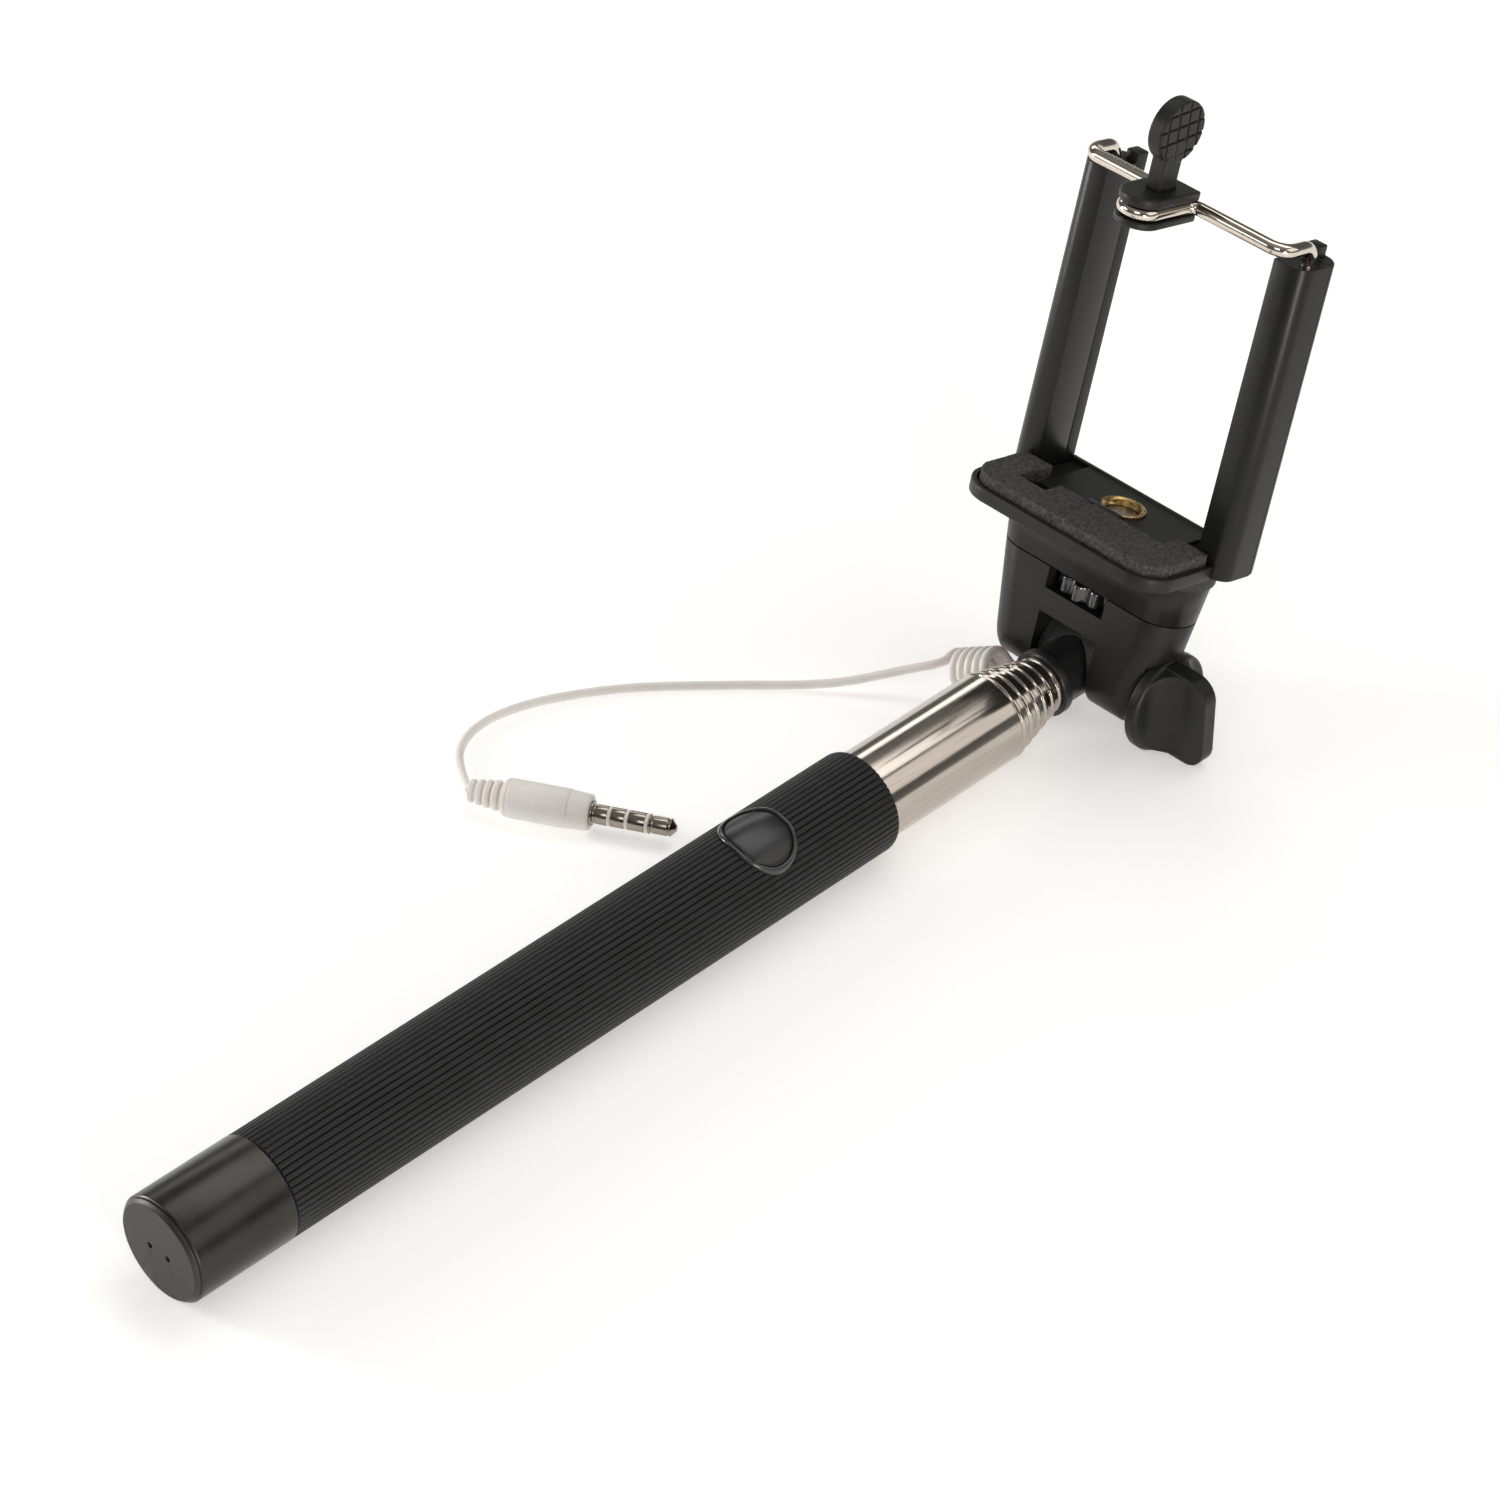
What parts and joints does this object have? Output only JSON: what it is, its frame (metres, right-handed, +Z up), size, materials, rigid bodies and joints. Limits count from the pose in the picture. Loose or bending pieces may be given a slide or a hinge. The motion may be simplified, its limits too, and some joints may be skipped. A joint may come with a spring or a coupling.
{
  "type": "selfie stick",
  "caption": "Wired telescopic selfie stick with a ribbed grip and shutter button, a tilting head with a wing knob, and a swivelling spring clamp cradle for a phone.",
  "frame": {"origin": "on the surface that the stick lies on, under the middle of its bounding box (free cord not counted)", "axes": "+X along the stick from the end cap to the head, +Y away from the clamp knob, +Z up; the phone cradle stands up and leans 15.5 degrees towards +X"},
  "size_m": [0.2415, 0.0978, 0.1154],
  "materials": {
    "end_sleeve": "satin dark anodised",
    "end_cap": "satin dark anodised",
    "grip_rubber": "ribbed soft rubber",
    "core_plastic": "moulded",
    "tube_steel": "polished",
    "bezel": "gloss",
    "button": "gloss",
    "board": "printed circuit",
    "switch_metal": "bright",
    "bush_plastic": "moulded",
    "neck_plastic": "fine texture",
    "housing_plastic": "satin",
    "pad_rubber": "fine texture",
    "knob_plastic": "satin",
    "wheel_plastic": "gloss",
    "screw_steel": "bright",
    "tray_plastic": "fine texture",
    "brass": "turned",
    "foam": "open-cell foam",
    "post_metal": "satin black",
    "cover_plastic": "satin",
    "wire_chrome": "polished",
    "spring_steel": "bright",
    "jaw_plastic": "satin",
    "cord_white": "soft sheath",
    "boot_cream": "soft sheath",
    "contact_metal": "plated"
  },
  "bodies": {
    "handle": {"end_cap": "end_cap", "end_sleeve": "end_sleeve", "handle_core": "core_plastic", "grip_sleeve": "grip_rubber", "outer_tube": "tube_steel", "button_bezel": "bezel", "switch_board": "board", "dome_switch": "switch_metal", "handle_lead": "cord_white"},
    "button": {"shutter_button": "button"},
    "section_1": {"tube_section_1": "tube_steel", "rear_bush_1": "bush_plastic"},
    "section_2": {"tube_section_2": "tube_steel", "rear_bush_2": "bush_plastic"},
    "section_3": {"tube_section_3": "tube_steel", "rear_bush_3": "bush_plastic"},
    "section_4": {"tube_section_4": "tube_steel", "rear_bush_4": "bush_plastic"},
    "section_5": {"tube_section_5": "tube_steel", "rear_bush_5": "bush_plastic", "neck": "neck_plastic", "inner_coil": "cord_white", "cord_boot": "boot_cream", "cord_coil": "cord_white", "cord_lead": "cord_white", "plug_boot": "cord_white", "plug_body": "cord_white", "plug_contacts": "contact_metal", "plug_insulators": "cord_white"},
    "yoke": {"housing_lower": "housing_plastic", "housing_cap": "housing_plastic", "top_pad": "pad_rubber", "clamp_nut": "screw_steel"},
    "knob": {"clamp_knob": "knob_plastic", "clamp_bolt": "screw_steel"},
    "wheel": {"thumbwheel": "wheel_plastic", "mount_screw": "screw_steel"},
    "cradle": {"tray": "tray_plastic", "brass_insert": "brass", "foam_pad": "foam", "post_left": "post_metal", "post_right": "post_metal", "post_cover_left": "cover_plastic", "post_cover_right": "cover_plastic"},
    "clamp": {"clamp_wire": "wire_chrome", "wire_retainers": "screw_steel", "clamp_springs": "spring_steel", "jaw_lower": "jaw_plastic", "jaw_upper": "jaw_plastic", "finger_tab": "jaw_plastic"}
  },
  "joints": [
    {"name": "button_press", "type": "slide", "parent": "handle", "child": "button", "axis": [0, 0.1994, -0.9799], "range_m": [0, 0.0003], "stiffness_N_per_m": 800, "springref_m": -0.0005},
    {"name": "extend_1", "type": "slide", "parent": "handle", "child": "section_1", "axis": [1, 0, 0], "range_m": [0, 0.135]},
    {"name": "extend_2", "type": "slide", "parent": "section_1", "child": "section_2", "axis": [1, 0, 0], "range_m": [0, 0.135]},
    {"name": "extend_3", "type": "slide", "parent": "section_2", "child": "section_3", "axis": [1, 0, 0], "range_m": [0, 0.135]},
    {"name": "extend_4", "type": "slide", "parent": "section_3", "child": "section_4", "axis": [1, 0, 0], "range_m": [0, 0.135]},
    {"name": "extend_5", "type": "slide", "parent": "section_4", "child": "section_5", "axis": [1, 0, 0], "range_m": [0, 0.135]},
    {"name": "head_tilt", "type": "hinge", "parent": "section_5", "child": "yoke", "pos_m": [0.0899, 0.00175, 0.00955], "axis": [0, 1, 0], "range_deg": [-25, 160]},
    {"name": "knob_turn", "type": "hinge", "parent": "yoke", "child": "knob", "pos_m": [0.0899, 0.00175, 0.00955], "axis": [0, 1, 0], "continuous": true},
    {"name": "wheel_turn", "type": "hinge", "parent": "yoke", "child": "wheel", "pos_m": [0.09326, 0.00175, 0.02315], "axis": [0.2672, 0, 0.9636], "continuous": true},
    {"name": "cradle_swivel", "type": "hinge", "parent": "yoke", "child": "cradle", "pos_m": [0.09326, 0.00175, 0.02315], "axis": [0.2672, 0, 0.9636], "continuous": true},
    {"name": "clamp_lift", "type": "slide", "parent": "cradle", "child": "clamp", "axis": [0.2672, 0, 0.9636], "range_m": [0, 0.027], "stiffness_N_per_m": 300, "springref_m": -0.01}
  ]
}
